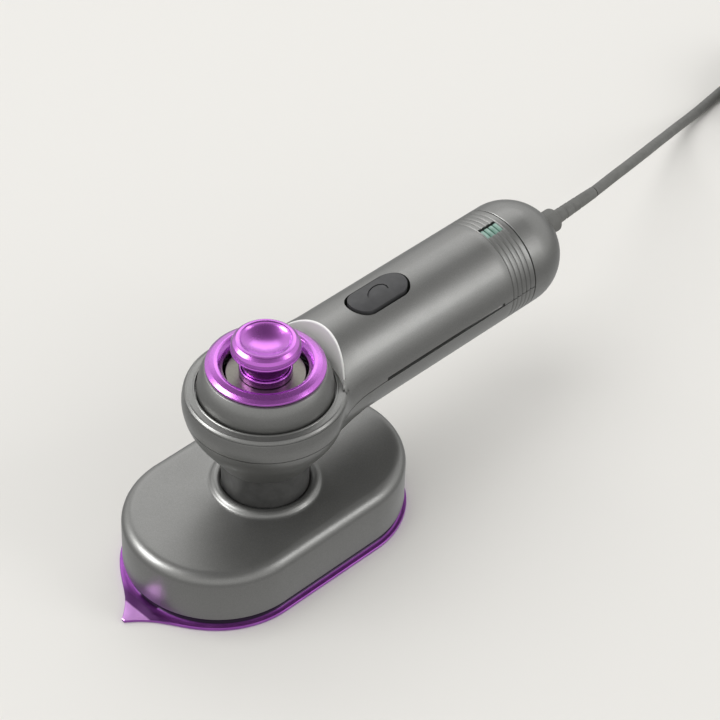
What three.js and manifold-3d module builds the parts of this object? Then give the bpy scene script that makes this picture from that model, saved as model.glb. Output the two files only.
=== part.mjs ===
// Handheld steamer: an oval head on a pointed hot plate, under a round grip that swivels on it.
// Millimetres, +Z up. The origin is on the hot plate's underside, on the swivel axis.
// +X runs along the grip to its rear end, where the mains lead leaves.
import * as THREE from 'three';
import { mergeVertices } from 'three/addons/utils/BufferGeometryUtils.js';
import Module from 'manifold-3d';

const wasm = await Module();
wasm.setup();

// ---- driving dimensions ------------------------------------------------------------------
const GAP = 0.3;                  // clearance between neighbouring pieces
const PLATE = { half: 21.2, radius: 33.4, point: 10.4, pointWidth: 9.5, rim: 1.5, top: 3.0, inset: 31.4 };
const STEAM_HOLE = { radius: 1.3, ring: 24, count: 12 };
const CASING = { half: 21.2, radius: 32.6, bottom: 4.4, top: 23.7, wall: 1.8, round: 4.2 };
const GASKET_OUTER = 31.2;
const BLOCK = { radius: 26, bottom: 3.3, top: 11, chamber: 19, chamberTop: 6.7 };
const ELEMENT = { rod: 2.5, above: 2.9, bend: 17 };
const THERMOSTAT = { x: 28, base: 7, cap: 4.5, baseTop: 15.3, top: 17.4 };
const FEED = { outer: 2, bore: 1.2 };
const BOSS = { x: 44.5, radius: 2.8, bore: 1.3, top: 18.5 };
const NECK = { radius: 14.7, bore: 12.6, bottom: 24, top: 39.2 };
const FLANGE_SCREWS = { ring: 9.8, degrees: [90, 210, 330], hole: 1.3, seat: 1.9 };
const NUT = { across: 11, bottom: 45.6, top: 48.4 };
const WAVE_WASHER = { inner: 8, outer: 10.6, middle: 44.3, halfThick: 0.3, wave: 0.7, waves: 3 };
const SPINDLE = { radius: 7.5, bore: 5.5, flange: 12.2, bottom: 24, flangeTop: 26.4, top: 48.8 };
const GRIP = { axis: 58.2, radius: 19, wall: 2, capStart: 110, end: 133.6 };
const HUB_PROFILE = [
  [16.4, 37.4], [17.4, 39], [19.4, 42], [22.2, 46], [24.8, 50], [26.6, 54], [27.6, 58], [27.8, 61], [27.2, 64.4],
  [26.4, 66.2],
];
const PARTING = { hub: 57.2, from: 22, to: 36 };      // the shells' meeting line rises between these
const SIDE_SLOT = { from: 38, to: 95, top: 59.4, depth: 1 };
const HUB = { floor: 41, floorTop: 43, rimTop: 66.2, cut: 25.5, skirt: 15.1 };
const DOME = { radius: 22.8, bottom: 63.7, seam: 66, top: 74.9, hole: 15.3 };
const RING = { outer: 20, inner: 14.2, skirt: 15, skirtBottom: 73.1, bottom: 75.2, crest: 77.6 };
const BEZEL = { radius: 13.6, bottom: 71.9, top: 72.7, hole: 8.4 };
const PUMP = { radius: 11, bottom: 49.2, top: 71.5, ledge: 61, bore: 9.3, piston: 6.5, outlet: 1.3 };
const COLLAR = { outer: 8.9, inner: 8.3, top: 75.6 };
const KNOB = { stem: 8, skirt: 11.6, stemTop: 81.1, top: 87.1, stemBottom: 69.5, rodBottom: 55.2, rod: 4.5 };
const BUTTON = { centre: 51, half: 6.6, radius: 5.4, top: 78.1, bottom: 73.6 };
const LENS = { from: 99.5, to: 107, side: -2.9, half: 1.9 };
const TANK = { from: 50, to: 100.2, radius: 16.6, top: 56.6, wall: 1.5 };
const FILLER = { x: 82, plug: 5, cap: 6.5 };
const BOARD = { from: 49, to: 104, half: 11.8, bottom: 67, top: 68.6 };
const SCREW_X = [44, 105];      // screws that hold the grip's two halves together
const RELIEF = { rise: 2.2, blockEnd: 139.4, length: 20, tilt: 0.05 };
const CORD = { radius: 2, sides: 8 };
const COIL = { x: 328, y: 32, inner: 16, outer: 28, bottom: 0.9, top: 16.9 };
const TIE = { half: 5, thick: 0.8, outside: -30, inside: -13.9 };
const PLUG = { x: 352, rear: -25, front: -59, half: 13, height: 13, pin: 2, pinLength: 19, pitch: 19 };

// The lead from the strain relief to the coil, down to the surface that the steamer stands on.
const LEAD_ROUTE = [
  [159.8, 0, 61.4], [166, 0.7, 61.3], [172, 1.9, 60.5], [179, 3.8, 58.7], [186, 6.2, 56.2], [194, 9.6, 52.5],
  [202, 13.4, 48.2], [210, 17.6, 43.3], [218, 22.1, 38.1], [226, 26.6, 32.8], [234, 31.2, 27.4], [242, 35.7, 22.1],
  [250, 39.9, 17.2], [258, 43.9, 12.7], [266, 47.4, 8.8], [274, 50.4, 5.6], [282, 52.7, 3.4], [290, 54.4, 2.3],
  [299, 55.8, 2.1], [308, 56.9, 2.2],
];
// The lead from the coil down to the plug.
const PLUG_ROUTE = [
  [354.2, 16.6, 14.9], [354.1, 10, 12.4], [353.6, 2, 8.2], [352.8, -8, 5.2], [352.2, -16, 5.6], [352, -24.7, 6.5],
];

// ---- looks -------------------------------------------------------------------------------
const LOOKS = {
  grey: { color: 0x7d7d7b, roughness: 0.38, metalness: 0.75 },
  purple: { color: 0xa12fb8, roughness: 0.22, metalness: 0.85 },
  silver: { color: 0xb9b6ac, roughness: 0.3, metalness: 0.9 },
  charcoal: { color: 0x3c3c3d, roughness: 0.5, metalness: 0.1 },
  rubber: { color: 0x4c4c4a, roughness: 0.75, metalness: 0 },
  steel: { color: 0x9a9a98, roughness: 0.35, metalness: 1 },
  castAlloy: { color: 0x8f918f, roughness: 0.55, metalness: 0.9 },
  clear: { color: 0xa9d8c8, roughness: 0.15, metalness: 0 },
  white: { color: 0xd8d6cf, roughness: 0.5, metalness: 0 },
  board: { color: 0x2c5a3a, roughness: 0.6, metalness: 0 },
  brass: { color: 0xb08d4a, roughness: 0.35, metalness: 1 },
};

const steamer = new THREE.Group();

// ---- solids ------------------------------------------------------------------------------
function signedVolume(position, index) {
  const [a, b, c] = [new THREE.Vector3(), new THREE.Vector3(), new THREE.Vector3()];
  let volume = 0;
  for (let i = 0; i < index.count; i += 3) {
    a.fromBufferAttribute(position, index.getX(i));
    b.fromBufferAttribute(position, index.getX(i + 1));
    c.fromBufferAttribute(position, index.getX(i + 2));
    volume += a.dot(b.cross(c));
  }
  return volume;
}

// A closed geometry as a solid, with its faces turned outwards.
function solid(geometry) {
  geometry.deleteAttribute('normal');
  geometry.deleteAttribute('uv');
  const merged = mergeVertices(geometry, 1e-4);
  const corners = Array.from(merged.index.array);
  if (signedVolume(merged.attributes.position, merged.index) < 0) corners.reverse();
  const triVerts = new Uint32Array(corners);
  const vertProperties = new Float32Array(merged.attributes.position.array);
  return new wasm.Manifold(new wasm.Mesh({ numProp: 3, vertProperties, triVerts }));
}

function join(...pieces) {
  return pieces.reduce((whole, piece) => whole.add(piece));
}

function cut(piece, ...tools) {
  return tools.reduce((rest, tool) => rest.subtract(tool), piece);
}

// Names a solid, gives it a look and puts it in the assembly.
function part(name, shape, look) {
  const mesh = shape.getMesh();
  const geometry = new THREE.BufferGeometry();
  geometry.setAttribute('position', new THREE.BufferAttribute(mesh.vertProperties, 3));
  geometry.setIndex(new THREE.BufferAttribute(mesh.triVerts, 1));
  geometry.computeVertexNormals();
  const piece = new THREE.Mesh(geometry, new THREE.MeshStandardMaterial(LOOKS[look]));
  piece.name = name;
  steamer.add(piece);
}

// A turned shape about the Z axis through (x, y), from [radius, height] points.
function turned(points, { x = 0, y = 0, segments = 30 } = {}) {
  const profile = points.map(([radius, height]) => new THREE.Vector2(radius, height));
  const geometry = new THREE.LatheGeometry(profile, segments);
  geometry.rotateX(Math.PI / 2);
  geometry.translate(x, y, 0);
  return solid(geometry);
}

function disc(radius, bottom, top, place = {}) {
  return turned([[0, bottom], [radius, bottom], [radius, top], [0, top]], place);
}

function tube(outer, inner, bottom, top, place = {}) {
  return turned([[inner, bottom], [outer, bottom], [outer, top], [inner, top], [inner, bottom]], place);
}

// A turned shape about the grip's own axis, from [x, radius] points.
function turnedAlongGrip(points, segments = 32) {
  const profile = points.map(([x, radius]) => new THREE.Vector2(radius, x));
  const geometry = new THREE.LatheGeometry(profile, segments, Math.PI / segments);
  geometry.rotateZ(-Math.PI / 2);
  geometry.translate(0, 0, GRIP.axis);
  return solid(geometry);
}

function gripRod(radius, from, to, segments = 32) {
  return turnedAlongGrip([[from, 0], [from, radius], [to, radius], [to, 0]], segments);
}

function block(from, to) {
  const size = to.map((end, axis) => end - from[axis]);
  const geometry = new THREE.BoxGeometry(...size);
  geometry.translate(...from.map((start, axis) => start + size[axis] / 2));
  return solid(geometry);
}

function obroundShape(half, radius) {
  const shape = new THREE.Shape();
  shape.absarc(half, 0, radius, -Math.PI / 2, Math.PI / 2);
  shape.absarc(-half, 0, radius, Math.PI / 2, 1.5 * Math.PI);
  return shape;
}

function extruded(shape, bottom, top, curveSegments = 11) {
  const geometry = new THREE.ExtrudeGeometry(shape, { depth: top - bottom, bevelEnabled: false, curveSegments });
  geometry.translate(0, 0, bottom);
  return solid(geometry);
}

function obround(half, radius, bottom, top) {
  return extruded(obroundShape(half, radius), bottom, top);
}

// A round section swept along a smooth curve through the points.
function swept(points, radius, { sides = CORD.sides, steps = 40 } = {}) {
  const section = new THREE.Shape();
  for (let side = 0; side < sides; side += 1) {
    const angle = ((side + 0.5) / sides) * 2 * Math.PI;
    const corner = [radius * Math.cos(angle), radius * Math.sin(angle)];
    if (side === 0) section.moveTo(...corner);
    else section.lineTo(...corner);
  }
  section.closePath();
  const extrudePath = new THREE.CatmullRomCurve3(points.map((point) => new THREE.Vector3(...point)));
  return solid(new THREE.ExtrudeGeometry(section, { steps, extrudePath, bevelEnabled: false }));
}

function acrossRod(radius, from, to) {
  const length = from.distanceTo(to);
  const geometry = new THREE.CylinderGeometry(radius, radius, length, 12);
  const turn = new THREE.Quaternion().setFromUnitVectors(
    new THREE.Vector3(0, 1, 0), to.clone().sub(from).normalize());
  geometry.applyQuaternion(turn);
  geometry.translate(...from.clone().add(to).multiplyScalar(0.5).toArray());
  return solid(geometry);
}

// ---- head --------------------------------------------------------------------------------
// The hot plate's outline: an oval whose front runs out in two hollow curves to a point.
function plateOutline() {
  const { half, radius, point, pointWidth } = PLATE;
  const shape = new THREE.Shape();
  shape.absarc(half, 0, radius, -Math.PI / 2, Math.PI / 2);
  const offsets = [90, 75, 60, 48, 38, 30, 24, 19, 15, 11, 8, 5, 2.5, 0.5];
  const front = [...offsets, ...offsets.map((degrees) => -degrees).reverse()];
  front.forEach((degrees) => {
    const angle = Math.PI - THREE.MathUtils.degToRad(degrees);
    const reach = radius + point * Math.exp(-Math.abs(degrees) / pointWidth);
    shape.lineTo(-half + reach * Math.cos(angle), reach * Math.sin(angle));
  });
  return shape;
}

function steamHoles() {
  const holes = [];
  for (let i = 0; i < STEAM_HOLE.count; i += 1) {
    const angle = ((i + 0.5) / STEAM_HOLE.count) * 2 * Math.PI;
    const x = Math.sign(Math.cos(angle)) * PLATE.half * 0.6 + STEAM_HOLE.ring * Math.cos(angle) * 0.8;
    const y = STEAM_HOLE.ring * Math.sin(angle) * 0.85;
    holes.push(disc(STEAM_HOLE.radius, -1, PLATE.top + 1, { x, y, segments: 6 }));
  }
  return holes;
}

function buildSoleplate() {
  const rim = extruded(plateOutline(), 0, PLATE.rim);
  const seat = obround(PLATE.half, PLATE.inset, PLATE.rim - 0.2, PLATE.top);
  part('soleplate', cut(join(rim, seat), ...steamHoles()), 'purple');
  const gasket = cut(obround(PLATE.half, GASKET_OUTER, PLATE.top + GAP, CASING.bottom - GAP),
    obround(PLATE.half, BLOCK.radius + 1, 0, CASING.top));
  part('soleplate_gasket', gasket, 'white');
}

function buildHeater() {
  const { radius, bottom, top, chamber, chamberTop } = BLOCK;
  const steamChamber = obround(PLATE.half, chamber, bottom - 1, chamberTop);
  const inlet = disc(FEED.bore, bottom, top + 1, { segments: 12 });
  const screwHoles = bossDiscs(BOSS.bore + 0.2, bottom - 1, top + 1);
  const counterbores = bossDiscs(BOSS.radius + 0.1, bottom - 1, bottom + 2);
  part('heater_block', cut(obround(PLATE.half, radius, bottom, top),
    steamChamber, inlet, ...screwHoles, ...counterbores), 'castAlloy');
  buildElement(top + ELEMENT.above);
  const thermostat = { x: THERMOSTAT.x, segments: 24 };
  part('thermostat', join(disc(THERMOSTAT.base, top + GAP, THERMOSTAT.baseTop, thermostat),
    disc(THERMOSTAT.cap, THERMOSTAT.baseTop - 1, THERMOSTAT.top, thermostat)), 'white');
  const fuseHeight = top + GAP + 2.2;
  const fuse = [new THREE.Vector3(-34, 0, fuseHeight), new THREE.Vector3(-21, 0, fuseHeight)];
  part('thermal_fuse', acrossRod(2, ...fuse), 'white');
  part('feed_tube', tube(FEED.outer, FEED.bore, top + GAP, PUMP.bottom - GAP, { segments: 14 }), 'steel');
}

// A hairpin rod that lies on the heater block, bent round its front end.
function buildElement(height) {
  const leg = [[36, 14], [20, 15.6], [0, 16], [-20, 16.4]];
  const bend = [150, 180, 210].map((degrees) => {
    const angle = THREE.MathUtils.degToRad(degrees);
    return [-PLATE.half + ELEMENT.bend * Math.cos(angle), ELEMENT.bend * Math.sin(angle)];
  });
  const otherLeg = leg.map(([x, y]) => [x, -y]).reverse();
  const points = [...leg, ...bend, ...otherLeg].map(([x, y]) => [x, y, height]);
  part('heating_element', swept(points, ELEMENT.rod, { steps: 44 }), 'steel');
}

// A disc at each of the head's two screws, ahead of and behind the swivel axis.
function bossDiscs(radius, bottom, top) {
  return [-BOSS.x, BOSS.x].map((x) => disc(radius, bottom, top, { x, segments: 16 }));
}

function flangeScrewPlaces() {
  return FLANGE_SCREWS.degrees.map((degrees) => {
    const angle = THREE.MathUtils.degToRad(degrees);
    return { x: FLANGE_SCREWS.ring * Math.cos(angle), y: FLANGE_SCREWS.ring * Math.sin(angle), segments: 12 };
  });
}

// A closed oval dome: a bevelled prism with its lower half taken off.
function ovalShell(half, radius, top, round) {
  const bevel = { bevelEnabled: true, bevelThickness: round, bevelSize: round, bevelSegments: 3 };
  const depth = 30;
  const geometry = new THREE.ExtrudeGeometry(obroundShape(half, radius - round),
    { depth, curveSegments: 11, ...bevel });
  geometry.translate(0, 0, top - round - depth);
  const bottom = CASING.bottom;
  return cut(solid(geometry), block([-99, -99, -99], [99, 99, bottom]));
}

function buildCasing() {
  const { half, radius, top, wall, round } = CASING;
  const inside = ovalShell(half, radius - wall, top - wall, round - 1);
  const lip = turned([[15, top - 1], [19, top - 1], [18.4, top + 0.9], [17.2, top + 1.7],
    [16, top + 1.5], [15, top + 0.6], [15, top - 1]]);
  const bosses = bossDiscs(BOSS.radius, BLOCK.top + GAP, top - 1);
  const bores = bossDiscs(BOSS.bore, 0, BOSS.top);
  const shell = join(cut(ovalShell(half, radius, top, round), inside), lip, ...bosses);
  const screwHoles = flangeScrewPlaces().map((place) => disc(FLANGE_SCREWS.hole, 10, 30, place));
  part('head_casing', cut(shell, disc(5, 10, 40, { segments: 24 }), ...bores, ...screwHoles), 'grey');
  [['front', -BOSS.x], ['rear', BOSS.x]].forEach(([side, x]) => {
    const screw = turned([[0, 3.4], [2.6, 3.4], [2.6, 5], [1, 5], [1, 17], [0, 17.6]], { x, segments: 14 });
    part(`casing_screw_${side}`, screw, 'steel');
  });
}

function buildSpindle() {
  const { radius, bore, flange, bottom, flangeTop, top } = SPINDLE;
  const spindle = turned([[bore, bottom], [flange, bottom], [flange, flangeTop], [radius, flangeTop + 1],
    [radius, top], [bore, top], [bore, bottom]]);
  const places = flangeScrewPlaces();
  const clear = places.map((place) => disc(FLANGE_SCREWS.hole, bottom - 1, flangeTop + 3, place));
  const seats = places.map((place) => disc(FLANGE_SCREWS.seat, flangeTop - 0.4, flangeTop + 3, place));
  part('pivot_tube', cut(spindle, ...clear, ...seats), 'steel');
  places.forEach((place, index) => {
    const screw = turned([[0, 18], [1, 18.6], [1, flangeTop], [1.7, flangeTop], [1.7, flangeTop + 1.2],
      [0, flangeTop + 1.2]], place);
    part(`flange_screw_${index + 1}`, screw, 'steel');
  });
  part('neck_sleeve', tube(NECK.radius, NECK.bore, NECK.bottom, NECK.top), 'charcoal');
  part('thrust_washer', tube(13.6, radius + GAP, NECK.top + GAP, HUB.floor - GAP), 'white');
  part('wave_washer', waveWasher(), 'steel');
  const hexagon = disc(NUT.across, NUT.bottom, NUT.top, { segments: 6 });
  const nut = cut(hexagon, disc(radius + GAP, NUT.bottom - 1, NUT.top + 1, { segments: 32 }));
  part('swivel_nut', nut, 'brass');
}

// A flat ring bent up and down into even waves, so that it springs.
function waveWasher() {
  const { inner, outer, middle, halfThick, wave, waves } = WAVE_WASHER;
  const section = [[inner, -halfThick], [outer, -halfThick], [outer, halfThick], [inner, halfThick],
    [inner, -halfThick]];
  const geometry = new THREE.LatheGeometry(section.map((point) => new THREE.Vector2(...point)), 36);
  geometry.rotateX(Math.PI / 2);
  const position = geometry.attributes.position;
  for (let i = 0; i < position.count; i += 1) {
    const lift = wave * Math.cos(waves * Math.atan2(position.getY(i), position.getX(i)));
    position.setZ(i, middle + position.getZ(i) + lift);
  }
  return solid(geometry);
}

// ---- grip --------------------------------------------------------------------------------
function hubOutside() {
  return turned([[0, HUB_PROFILE[0][1]], ...HUB_PROFILE, [0, HUB.rimTop]], { segments: 36 });
}

// The hollow of the hub, with a ledge near its rim for the dome to sit on.
function hubInside() {
  return turned([[0, HUB.floorTop], [17.6, HUB.floorTop], [20, 46], [22.6, 50], [24.4, 54], [25.2, 58],
    [23.6, 60.6], [19.5, 61.6], [19.5, DOME.bottom - GAP], [DOME.radius + GAP, DOME.bottom - GAP],
    [DOME.radius + GAP, HUB.rimTop + 1], [0, HUB.rimTop + 1]]);
}

// The grip's whole skin, before it is parted into an upper and a lower half.
function gripSkin() {
  const outside = join(hubOutside(), gripRod(GRIP.radius, 0, GRIP.capStart - GAP));
  const recess = disc(HUB.cut, HUB.rimTop, 99, { segments: 36 });
  const wallRoundRecess = disc(HUB.cut + GRIP.wall, 61.6, 99);
  const bore = cut(gripRod(GRIP.radius - GRIP.wall, 10, GRIP.capStart + 1), wallRoundRecess);
  const spindleHole = disc(SPINDLE.radius + GAP, 30, 50, { segments: 24 });
  const neckHole = disc(HUB.skirt, 30, HUB.floor);
  return cut(outside, recess, bore, hubInside(), spindleHole, neckHole);
}

// Everything above the parting line, which drops towards the hub.
function abovePartingLine(lift) {
  const [front, rear, top] = [-60, 140, 120];
  const line = [[front, PARTING.hub], [PARTING.from, PARTING.hub], [PARTING.to, GRIP.axis], [rear, GRIP.axis]];
  const shape = new THREE.Shape();
  shape.moveTo(front, top);
  line.forEach(([x, z]) => shape.lineTo(x, z + lift));
  shape.lineTo(rear, top);
  shape.closePath();
  const geometry = new THREE.ExtrudeGeometry(shape, { depth: 100, bevelEnabled: false });
  geometry.translate(0, 0, -50);
  geometry.rotateX(Math.PI / 2);
  return solid(geometry);
}

function buildUpperShell() {
  const buttonHole = obround(BUTTON.half, BUTTON.radius + 0.4, 66, 90).translate([BUTTON.centre, 0, 0]);
  const lensHole = block([LENS.from - GAP, LENS.side - LENS.half - GAP, 70],
    [LENS.to + GAP, LENS.side + LENS.half + GAP, 90]);
  const deep = GRIP.radius - SIDE_SLOT.depth;
  const slots = [[-GRIP.radius - 2, -deep], [deep, GRIP.radius + 2]].map(([right, left]) => block(
    [SIDE_SLOT.from, right, GRIP.axis - 1], [SIDE_SLOT.to, left, SIDE_SLOT.top]));
  const ribs = SCREW_X.map((x) => block([x - 2.6, -16.6, 58.6], [x + 2.6, 16.6, 63]));
  const bores = SCREW_X.map((x) => disc(1.3, 50, 61.6, { x, segments: 12 }));
  const skin = join(gripSkin().intersect(abovePartingLine(0)), ...ribs.map((rib) => rib
    .intersect(gripRod(GRIP.radius - 1, 0, GRIP.end))));
  const guides = [-1, 1].map((side) => block([BOARD.from + 6, side * 13.6 - 2.8, 64.4],
    [BOARD.to - 6, side * 13.6 + 2.8, BOARD.bottom - GAP]));
  const shelves = guides.map((guide) => guide.intersect(gripRod(GRIP.radius - 1, 0, GRIP.end)));
  part('upper_shell', cut(join(skin, ...shelves), buttonHole, lensHole, ...slots, ...bores), 'grey');
}

function buildLowerShell() {
  const posts = SCREW_X.map((x) => disc(4.2, 41, 57.6, { x, segments: 18 }));
  const wells = SCREW_X.map((x) => disc(3, 30, 50, { x, segments: 16 }));
  const bores = SCREW_X.map((x) => disc(1.5, 40, 60, { x, segments: 12 }));
  const filler = disc(FILLER.cap + GAP, 30, 45, { x: FILLER.x, segments: 24 });
  const skin = cut(gripSkin(), abovePartingLine(-GAP));
  part('lower_shell', cut(join(skin, ...posts), ...wells, ...bores, filler), 'grey');
  [['front', SCREW_X[0]], ['rear', SCREW_X[1]]].forEach(([side, x]) => {
    const screw = turned([[0, 47.6], [2.6, 47.6], [2.6, 49.7], [1, 49.7], [1, 60.6], [0, 61.2]],
      { x, segments: 14 });
    part(`shell_screw_${side}`, screw, 'steel');
  });
}

// A rounded end: a straight collar, then a quarter circle to the tip.
function capProfile(start, radius, end) {
  const straight = end - radius;
  const points = [[start, 0], [start, radius]];
  const steps = 6;
  for (let step = 0; step <= steps; step += 1) {
    const angle = (step / steps) * (Math.PI / 2);
    points.push([straight + radius * Math.sin(angle), step === steps ? 0 : radius * Math.cos(angle)]);
  }
  return points;
}

function reliefRod(radius, from, to, endRadius = radius) {
  const profile = [[0, from], [radius, from], [endRadius, to], [0, to]];
  const geometry = new THREE.LatheGeometry(profile.map(([r, x]) => new THREE.Vector2(r, x)), 16);
  geometry.rotateZ(-Math.PI / 2);
  geometry.translate(0, 0, GRIP.axis + RELIEF.rise);
  return solid(geometry);
}

function buildRear() {
  const cap = cut(turnedAlongGrip(capProfile(GRIP.capStart, GRIP.radius, GRIP.end)),
    turnedAlongGrip(capProfile(GRIP.capStart - 1, GRIP.radius - GRIP.wall, GRIP.end - GRIP.wall)),
    reliefRod(4, 120, 140));
  part('end_cap', cap, 'grey');
  const taper = reliefRod(2.9, 0, RELIEF.length, 2.2).translate([0, 0, -GRIP.axis - RELIEF.rise])
    .rotate([0, -THREE.MathUtils.radToDeg(RELIEF.tilt), 0])
    .translate([RELIEF.blockEnd - 0.4, 0, GRIP.axis + RELIEF.rise]);
  const collar = cut(join(reliefRod(4.4, 130, RELIEF.blockEnd - 1),
    reliefRod(4.4, RELIEF.blockEnd - 1, RELIEF.blockEnd, 3.6)),
  turnedAlongGrip(capProfile(GRIP.capStart, GRIP.radius + GAP, GRIP.end + GAP)));
  part('strain_relief', join(reliefRod(5.2, 126.4, 129.3), reliefRod(3.7, 129, 136), collar, taper), 'rubber');
  part('cord_clamp', cut(block([116, -7, 55.4], [120.5, 7, 65.4]), reliefRod(2.4, 100, 130)), 'white');
  part('inner_lead', swept([[104.6, 5, 65.6], [109, 4.4, 65.2], [112, 1.6, 62], [115.4, 0.1, 60.5],
    [120, 0, 60.4], [126, 0, 60.4]], 1.9, { steps: 14 }), 'rubber');
}

function buildDome() {
  const { radius, bottom, seam, top, hole } = DOME;
  const dome = turned([[hole, top], [hole, 72.9], [19.6, 69.1], [20.4, bottom], [radius, bottom],
    [radius, seam], [22.5, 69.3], [21.7, 72.3], [RING.outer, top], [hole, top]], { segments: 36 });
  part('dome_cap', dome, 'grey');
  const { outer, inner, skirt, skirtBottom, crest } = RING;
  const ring = turned([[inner, skirtBottom], [skirt, skirtBottom], [skirt, RING.bottom], [outer - 0.6, RING.bottom],
    [outer, RING.bottom + 0.5], [18.8, crest - 1], [17.2, crest - 0.1], [15.6, crest], [inner + 0.2, crest - 0.8],
    [inner, skirtBottom]], { segments: 36 });
  part('trim_ring', ring, 'purple');
  const bezel = turned([[BEZEL.hole, BEZEL.bottom], [BEZEL.radius, BEZEL.bottom], [BEZEL.radius, BEZEL.top],
    [BEZEL.hole, BEZEL.top], [BEZEL.hole, BEZEL.bottom]]);
  part('pump_bezel', bezel, 'silver');
  part('pump_collar', tube(COLLAR.outer, COLLAR.inner, BEZEL.top + GAP, COLLAR.top, { segments: 32 }), 'purple');
}

function buildPump() {
  const body = turned([[PUMP.outlet, PUMP.bottom], [PUMP.radius, PUMP.bottom], [PUMP.radius, PUMP.top],
    [PUMP.bore, PUMP.top], [PUMP.bore, PUMP.ledge], [PUMP.piston, PUMP.ledge], [PUMP.piston, 50.8],
    [PUMP.outlet, 50.8], [PUMP.outlet, PUMP.bottom]], { segments: 32 });
  const inlet = acrossRod(1.2, new THREE.Vector3(5, 0, 52.4), new THREE.Vector3(15, 0, 52.4));
  part('pump_body', cut(body, inlet), 'white');
  const { stem, skirt, stemTop, top, stemBottom, rodBottom, rod } = KNOB;
  const knob = turned([[0, rodBottom], [rod, rodBottom], [rod, stemBottom], [stem, stemBottom], [stem, stemTop],
    [skirt - 0.8, stemTop + 1], [skirt, stemTop + 1.6], [skirt, top - 2.2], [skirt - 0.5, top - 1.1],
    [skirt - 1.3, top - 0.3], [skirt - 2.3, top], [8.5, 86.8], [7.6, 85.6], [5.6, 84.5], [3, 84.1], [0, 84]]);
  const groove = tube(rod + 1, rod - 1, 55.8, 58.9, { segments: 24 });
  part('pump_knob', cut(knob, groove), 'purple');
  part('piston_seal', tube(6.2, rod - 1 + GAP, 56.1, 58.6, { segments: 24 }), 'rubber');
  part('pump_spring', spring(6.9, 0.55, PUMP.ledge + 1, stemBottom - 0.9, 3), 'steel');
}

function spring(radius, wire, bottom, top, turns) {
  const perTurn = 14;
  const points = [];
  for (let step = 0; step <= turns * perTurn; step += 1) {
    const angle = (step / perTurn) * 2 * Math.PI;
    const height = bottom + ((top - bottom) * step) / (turns * perTurn);
    points.push([radius * Math.cos(angle), radius * Math.sin(angle), height]);
  }
  return swept(points, wire, { sides: 6, steps: turns * perTurn });
}

function buildTank() {
  const { from, to, radius, top, wall } = TANK;
  const outside = cut(gripRod(radius, from, to, 24), block([0, -30, top], [200, 30, 99]));
  const inside = cut(gripRod(radius - wall, from + wall, to - wall, 24), block([0, -30, top - wall], [200, 30, 99]));
  const filler = disc(FILLER.plug + GAP, 30, 46, { x: FILLER.x, segments: 20 });
  const outlet = acrossRod(1.2, new THREE.Vector3(from - 2, 9, 52.4), new THREE.Vector3(from + 4, 9, 52.4));
  part('water_tank', cut(outside, inside, filler, outlet), 'clear');
  const stopper = disc(FILLER.plug, 40, 46.2, { x: FILLER.x, segments: 20 });
  const cap = disc(FILLER.cap, 30, 41, { x: FILLER.x, segments: 24 });
  const flush = gripRod(GRIP.radius, 60, 100);
  const lid = cut(cap.intersect(flush), block([FILLER.x - 2.2, -1, 30], [FILLER.x + 2.2, 1, 40]));
  part('tank_plug', join(lid, stopper), 'charcoal');
  part('tank_hose', swept([[11.4, 0, 52.4], [18, 0, 52.4], [30, 5, 52.4], [38, 9, 52.4], [49.6, 9, 52.4]],
    1.8, { steps: 16 }), 'clear');
}

function buildControls() {
  const { centre, half, radius, top, bottom } = BUTTON;
  const proud = gripRod(top - GRIP.axis, centre - 20, centre + 20);
  const plate = obround(half, radius, bottom, 80).translate([centre, 0, 0]);
  part('power_button', plate.intersect(proud), 'charcoal');
  const board = cut(block([BOARD.from, -BOARD.half, BOARD.bottom], [BOARD.to, BOARD.half, BOARD.top]),
    block([90, -20, 60], [93, -9.5, 80]));
  part('circuit_board', board, 'board');
  const height = BOARD.top + GAP;
  part('push_switch', join(block([centre - 5, -4, height], [centre + 5, 4, 71.4]),
    disc(1.6, 71, 72.4, { x: centre, segments: 16 })), 'charcoal');
  const middle = (LENS.from + LENS.to) / 2;
  const window = block([LENS.from, LENS.side - LENS.half, 73], [LENS.to, LENS.side + LENS.half, 80])
    .intersect(gripRod(GRIP.radius - 0.5, LENS.from - 5, LENS.to + 5));
  part('indicator_lens', window, 'clear');
  part('indicator_led', block([middle - 2.5, LENS.side - 1.5, height], [middle + 0.5, LENS.side + 1.5, 71]),
    'white');
}

// ---- lead and plug -----------------------------------------------------------------------
function buildLead() {
  part('mains_cord', swept(LEAD_ROUTE, CORD.radius, { steps: 34 }), 'rubber');
  part('cord_coil', tube(COIL.outer, COIL.inner, COIL.bottom, COIL.top, { x: COIL.x, y: COIL.y, segments: 36 }),
    'rubber');
  part('plug_lead', swept(PLUG_ROUTE, CORD.radius, { steps: 14 }), 'rubber');
  const { half, thick } = TIE;
  const [from, to] = [COIL.x + TIE.outside, COIL.x + TIE.inside];
  const outside = block([from, COIL.y - half, 0], [to, COIL.y + half, COIL.top + 1]);
  const inside = block([from + thick, COIL.y - half - 1, COIL.bottom - GAP],
    [to - thick, COIL.y + half + 1, COIL.top + GAP]);
  part('coil_tie', cut(outside, inside), 'charcoal');
}

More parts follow.
